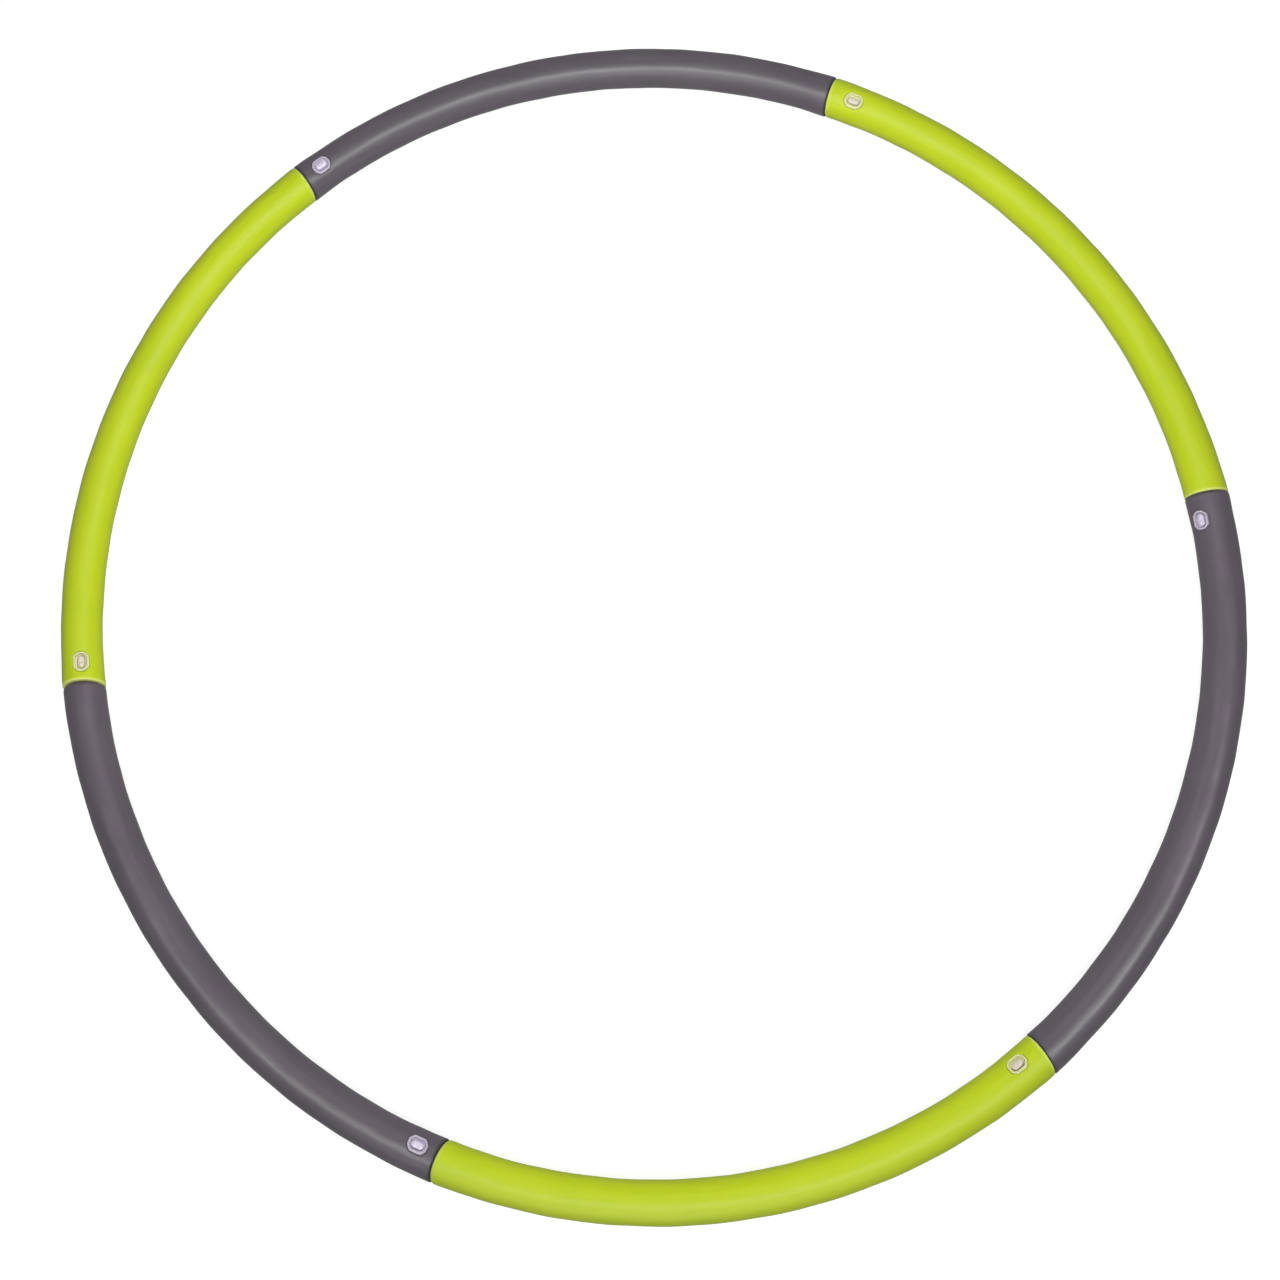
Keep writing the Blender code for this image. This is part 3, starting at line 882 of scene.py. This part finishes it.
class Nodes:
    """A material's node tree with short ways to add to it."""

    def __init__(self, name):
        self.material = bpy.data.materials.new(name)
        self.material.use_nodes = True
        self.tree = self.material.node_tree
        self.shader = self.tree.nodes["Principled BSDF"]
        self.place = self.add("ShaderNodeTexCoord").outputs["Object"]

    def add(self, kind, inputs=None, **settings):
        node = self.tree.nodes.new(kind)
        for key, value in settings.items():
            setattr(node, key, value)
        for key, value in (inputs or {}).items():
            self.join(value, node.inputs[key])
        return node

    def join(self, value, socket):
        if isinstance(value, bpy.types.NodeSocket):
            self.tree.links.new(value, socket)
        else:
            socket.default_value = value

    def math(self, operation, first, second=0.0, third=0.0):
        node = self.add("ShaderNodeMath", {0: first, 1: second, 2: third}, operation=operation)
        return node.outputs[0]

    def noise(self, look, vector=None, distortion=0.0):
        scale, detail, roughness = look
        inputs = {"Vector": vector or self.place, "Scale": scale, "Detail": detail}
        inputs.update({"Roughness": roughness, "Distortion": distortion})
        return self.add("ShaderNodeTexNoise", inputs).outputs["Fac"]

    def remap(self, value, band, to):
        inputs = {"Value": value, "From Min": band[0], "From Max": band[1]}
        inputs.update({"To Min": to[0], "To Max": to[1]})
        return self.add("ShaderNodeMapRange", inputs).outputs["Result"]

    def mix(self, share, first, second, blend="MIX"):
        inputs = {MIX_SHARE: share, MIX_FIRST: first, MIX_SECOND: second}
        return self.add("ShaderNodeMix", inputs, data_type="RGBA", blend_type=blend).outputs[MIX_RESULT]

    def set(self, **values):
        for key, value in values.items():
            self.join(value, self.shader.inputs[key.replace("_", " ")])

    def bump(self, height, relief, normal=None):
        strength, distance = relief
        inputs = {"Height": height, "Strength": strength, "Distance": distance}
        if normal is not None:
            inputs["Normal"] = normal
        return self.add("ShaderNodeBump", inputs).outputs["Normal"]

    def along_ring(self, stretch):
        """The place as (arc along the hoop, out, up), shortened along the hoop to draw streaks out."""
        parts = self.add("ShaderNodeSeparateXYZ", {"Vector": self.place})
        x, y, z = parts.outputs
        arc = self.math("MULTIPLY", self.math("ARCTAN2", y, x), RING / stretch)
        out = self.math("SQRT", self.math("MULTIPLY_ADD", x, x, self.math("MULTIPLY", y, y)))
        return self.add("ShaderNodeCombineXYZ", {"X": arc, "Y": out, "Z": z}).outputs["Vector"]


def rgb(*values):
    return (*values, 1.0)


def about(middle, below, above):
    return (middle - below, middle + above)


def foam_material(name, light, middle, dark, end, painted_rim_share, roughness, specular):
    """Satin closed-cell foam: faint clouding, drawn-out extrusion streaks, a fine skin grain, and a painted
    end rim: a painted highlight on lime, a painted shadow on grey.
    """
    n = Nodes(name)
    clouds = n.noise(FOAM_CLOUDS)
    streaks = n.noise(FOAM_STREAKS, vector=n.along_ring(FOAM_STREAK_STRETCH))
    grain = n.noise(FOAM_GRAIN)
    colour = n.mix(n.remap(clouds, FOAM_CLOUD_BAND, FULL), rgb(*dark), rgb(*middle))
    colour = n.mix(n.remap(streaks, FOAM_STREAK_BAND, FOAM_STREAK_SHARE), colour, rgb(*light))
    fine = n.remap(grain, MIDDLE_BAND, FOAM_GRAIN_SHADE)
    shade = n.add("ShaderNodeCombineColor", {"Red": fine, "Green": fine, "Blue": fine}).outputs["Color"]
    colour = n.mix(1.0, colour, shade, blend="MULTIPLY")
    # the painted end rim: a painted highlight on lime, a painted shadow on grey
    mark = n.add("ShaderNodeAttribute", attribute_name="painted_end_rim").outputs["Fac"]
    n.set(Base_Color=n.mix(n.math("MULTIPLY", mark, painted_rim_share), colour, rgb(*end)))
    drawn = n.remap(streaks, MIDDLE_BAND, about(roughness, 0.03, 0.03))
    n.set(Roughness=n.math("ADD", drawn, n.remap(grain, MIDDLE_BAND, FOAM_GRAIN_ROUGHNESS)))
    cells = n.add("ShaderNodeTexVoronoi", {"Vector": n.place, "Scale": FOAM_CELLS}).outputs["Distance"]
    skin = n.math("ADD", grain, n.math("MULTIPLY", cells, FOAM_CELL_SHARE))
    normal = n.bump(n.noise(FOAM_RIPPLES), FOAM_RIPPLE_RELIEF)
    normal = n.bump(streaks, FOAM_STREAK_RELIEF, normal)
    n.set(Normal=n.bump(skin, FOAM_GRAIN_RELIEF, normal))
    n.shader.inputs["Specular IOR Level"].default_value = specular
    n.shader.inputs["Sheen Weight"].default_value = FOAM_SHEEN
    n.shader.inputs["Sheen Roughness"].default_value = FOAM_SHEEN_ROUGHNESS
    return n.material


def plastic_material(name, base, shade, roughness, subsurface=0.0):
    """Moulded plastic: slow clouding, a fine moulded grain and faint flow marks."""
    n = Nodes(name)
    clouds = n.noise(PLASTIC_CLOUDS, distortion=PLASTIC_CLOUD_FLOW)
    fine = n.noise(PLASTIC_GRAIN)
    n.set(Base_Color=n.mix(n.remap(clouds, PLASTIC_CLOUD_BAND, FULL), rgb(*base), rgb(*shade)))
    slow = n.remap(clouds, MIDDLE_BAND, about(roughness, 0.04, 0.04))
    n.set(Roughness=n.math("ADD", slow, n.remap(fine, MIDDLE_BAND, about(0.0, 0.04, 0.04))))
    n.set(Normal=n.bump(fine, PLASTIC_GRAIN_RELIEF, n.bump(clouds, PLASTIC_CLOUD_RELIEF)))
    n.shader.inputs["Subsurface Weight"].default_value = subsurface
    n.shader.inputs["Subsurface Radius"].default_value = PLASTIC_DEPTH
    n.shader.inputs["Subsurface Scale"].default_value = 1.0
    return n.material


def steel_material(name, base, shade, roughness):
    """Spring steel with fine rolling lines and slight staining."""
    n = Nodes(name)
    lines = n.noise(STEEL_LINES, vector=n.along_ring(STEEL_LINE_STRETCH))
    stain = n.noise(STEEL_STAINS)
    n.set(Base_Color=n.mix(n.remap(stain, STEEL_STAIN_BAND, FULL), rgb(*base), rgb(*shade)))
    n.set(Roughness=n.remap(lines, MIDDLE_BAND, about(roughness, 0.06, 0.10)))
    n.set(Normal=n.bump(lines, STEEL_LINE_RELIEF))
    n.shader.inputs["Metallic"].default_value = 1.0
    return n.material


# Foam is (light, middle, dark, painted end rim, the painted rim's share, roughness, specular level), and
# the others are (base, shade, roughness) and for plastic the share of light that goes in under the surface
FOAMS = {
    "foam_lime": (
        (0.480, 0.575, 0.020), (0.433, 0.532, 0.007), (0.390, 0.505, 0.004),
        # lime's end rim colour: a painted highlight on the rounded ends, partly the paler cut foam
        (0.740, 0.800, 0.240), 0.80, 0.46, 0.24),
    "foam_grey": (
        (0.112, 0.096, 0.114), (0.088, 0.076, 0.091), (0.077, 0.066, 0.080),
        # grey's end rim colour: a painted shadow in the joint crease
        (0.022, 0.021, 0.024), 0.90, 0.37, 0.44),
}
PLASTICS = {
    "core_plastic": ((0.60, 0.59, 0.55), (0.55, 0.54, 0.50), 0.42, 0.1),
    "plug_plastic": ((0.74, 0.73, 0.70), (0.69, 0.68, 0.65), 0.34, 0.1),
    "bush_plastic": ((0.060, 0.060, 0.064), (0.05, 0.05, 0.053), 0.42),
    # one milky white bezel plastic: the lime-side copy has the foam's yellow-green light painted in, the
    # grey-side copy a painted lilac tint and painted shade
    "bezel_foam_lit_lime": ((0.62, 0.63, 0.31), (0.58, 0.59, 0.28), 0.38, 0.35),
    "bezel_foam_lit_grey": ((0.44, 0.40, 0.49), (0.40, 0.36, 0.45), 0.38, 0.10),
    # one milky white button plastic: its warm tint on lime and lilac tint on grey are painted light from
    # the foam around it
    "button_foam_lit_lime": ((0.60, 0.55, 0.46), (0.56, 0.51, 0.42), 0.32, 0.10),
    "button_foam_lit_grey": ((0.62, 0.56, 0.68), (0.58, 0.52, 0.64), 0.32, 0.10),
}
STEELS = {
    "spring_steel": ((0.58, 0.58, 0.60), (0.50, 0.49, 0.49), 0.26),
    "pin_steel": ((0.62, 0.62, 0.62), (0.54, 0.53, 0.52), 0.32),
}
MATERIALS = {name: foam_material(name, *look) for name, look in FOAMS.items()}
MATERIALS.update({name: plastic_material(name, *look) for name, look in PLASTICS.items()})
MATERIALS.update({name: steel_material(name, *look) for name, look in STEELS.items()})


# Assembly

def finish_piece(thing, body, node, slot, material=None):
    thing.data.materials.clear()
    thing.data.materials.append(MATERIALS[material or slot])
    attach(thing, body)
    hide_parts(node)


def joined(shape, other, operation):
    """The mesh of a shape cut by, or joined to, another solid, in a joint's own frame."""
    thing = piece("joined", shape.mesh("joined"))
    boolean(thing, other, operation)
    mesh = thing.data
    bpy.data.objects.remove(thing)
    return mesh


BLOCK_PLACE = Matrix.Translation((BUTTON_SET, 0, 0))
JOINER = joined(plug(), pin_drill(Matrix()), "DIFFERENCE")
LATCH = joined(latch_strip(), piece("block", latch_block().mesh("block"), BLOCK_PLACE), "UNION")


def build_section(number):
    body = f"section_{number}"
    on = "lime" if number % 2 else "grey"
    plug_end = tube_frame(PLUG_ANGLE[number], WINDOW[before(number)][1])
    button_end = tube_frame(PLUG_ANGLE[number % SECTIONS + 1], WINDOW[number][1])
    window = tube_frame(*WINDOW[number])

    sleeve = piece(f"foam_{number}", foam_sleeve(number))
    finish_piece(sleeve, body, f"foam_sleeve_{number}", f"foam_{on}")

    core = piece(f"core_{number}", core_tube(number).mesh("core"))
    boolean(core, pin_drill(plug_end), "DIFFERENCE")
    finish_piece(core, body, f"core_tube_{number}", "core_plastic")

    joiner = piece(f"joiner_{number}", JOINER.copy(), plug_end)
    finish_piece(joiner, body, f"plug_{number}", "plug_plastic")

    pin = piece(f"pin_{number}", plug_pin().mesh("pin"), across(plug_end))
    finish_piece(pin, body, f"plug_pin_{number}", "pin_steel")

    bush = piece(f"bush_{number}", mouth_bush().mesh("bush"), button_end)
    finish_piece(bush, body, f"mouth_bush_{number}", "bush_plastic")

    surround = piece(f"bezel_{number}", bezel().mesh("bezel"), window)
    # the bezel's colour has the light from its foam painted into it
    finish_piece(surround, body, f"button_bezel_{number}", "bezel_plastic", f"bezel_foam_lit_{on}")

    cap = piece(f"button_{number}", push_button().mesh("button"), window)
    # the button's colour has the light from its foam painted into it
    finish_piece(cap, f"button_{number}", f"push_button_{number}", "button_plastic", f"button_foam_lit_{on}")

    latch = piece(f"latch_{number}", LATCH.copy(), plug_end)
    finish_piece(latch, body, f"latch_spring_{number}", "spring_steel")
    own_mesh(latch)


for section in range(1, SECTIONS + 1):
    build_section(section)


# Stage

FLOOR_SIZE = 24.0
FLOOR_CLOUDS = (3.0, 2.0, 0.5)
FLOOR_DARK = 0.38
FLOOR_LIGHT = 0.40
FLOOR_ROUGHNESS = 0.9
FLOOR_SPECULAR = 0.1
FLOOR_GLOW = 0.78
SKY_LIGHT = 0.35                # what the sky gives the hoop
SKY_SHOWN = 0.93                # and what it shows behind it
CAMERA_PLACE = (-0.0289, -0.1089, 0.783)
CAMERA_TILT = (0.1258, 0.0112, 0.0)
CAMERA_LENS = 25.6
CAMERA_SHIFT = (0.0273, -0.0273)
CAMERA_NEAR = 0.01

# Each lamp's place, size, power, whether it shows as a highlight, and whether it lights the surface
LAMPS = {
    "key": ((0.10, -0.42, 1.25), 0.30, 7.8, True, True),
    "fill": ((-0.02, 0.13, 0.42), 0.50, 3.3, False, True),
    "gleam_left": ((-0.45, -0.48, 1.25), 0.24, 3.4, True, False),
    "gleam_right": ((0.64, -0.34, 1.25), 0.24, 5.5, True, False),
    "gleam_top": ((0.00, -1.15, 0.80), 0.90, 6.0, True, False),
}


def build_floor():
    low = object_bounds()[0].z
    work = bmesh.new()
    bmesh.ops.create_grid(work, x_segments=2, y_segments=2, size=FLOOR_SIZE / 2)
    mesh = bpy.data.meshes.new("floor")
    work.to_mesh(mesh)
    work.free()
    floor = piece("floor", mesh, Matrix.Translation((0, 0, low)))
    n = Nodes("floor_pale")
    n.set(Base_Color=n.mix(n.noise(FLOOR_CLOUDS), rgb(*[FLOOR_DARK] * 3), rgb(*[FLOOR_LIGHT] * 3)))
    n.set(Roughness=FLOOR_ROUGHNESS)
    n.shader.inputs["Emission Color"].default_value = rgb(1, 1, 1)
    glow = n.add("ShaderNodeLightPath").outputs["Is Camera Ray"]
    n.set(Emission_Strength=n.math("MULTIPLY", glow, FLOOR_GLOW))
    n.shader.inputs["Specular IOR Level"].default_value = FLOOR_SPECULAR
    mesh.materials.append(n.material)


def add_lamp(name, place, size, power, highlight, diffuse):
    light = bpy.data.lights.new(name, "AREA")
    light.shape = "DISK"
    light.size = size
    light.energy = power
    lamp = bpy.data.objects.new(name, light)
    bpy.context.scene.collection.objects.link(lamp)
    lamp.location = place
    lamp.visible_camera = False
    lamp.visible_glossy = highlight
    lamp.visible_diffuse = diffuse
    lamp.rotation_euler = (-Vector(place)).to_track_quat("-Z", "Y").to_euler()


def build_world():
    """Even soft light from all round, in front of a paler backdrop."""
    world = bpy.data.worlds.new("studio")
    world.use_nodes = True
    tree = world.node_tree
    seen = tree.nodes.new("ShaderNodeLightPath")
    strength = tree.nodes.new("ShaderNodeMapRange")
    tree.links.new(seen.outputs["Is Camera Ray"], strength.inputs["Value"])
    strength.inputs["To Min"].default_value = SKY_LIGHT
    strength.inputs["To Max"].default_value = SKY_SHOWN
    backdrop = tree.nodes["Background"]
    tree.links.new(strength.outputs["Result"], backdrop.inputs["Strength"])
    backdrop.inputs["Color"].default_value = rgb(1.0, 1.0, 1.0)
    bpy.context.scene.world = world


def build_camera():
    camera = bpy.data.cameras.new("camera")
    camera.lens = CAMERA_LENS
    camera.shift_x, camera.shift_y = CAMERA_SHIFT
    camera.clip_start = CAMERA_NEAR
    holder = bpy.data.objects.new("camera", camera)
    bpy.context.scene.collection.objects.link(holder)
    holder.location = CAMERA_PLACE
    holder.rotation_euler = CAMERA_TILT
    bpy.context.scene.camera = holder


build_floor()
for lamp_name, lamp_facts in LAMPS.items():
    add_lamp(lamp_name, *lamp_facts)
build_world()
build_camera()
bpy.context.scene.view_settings.view_transform = "Standard"
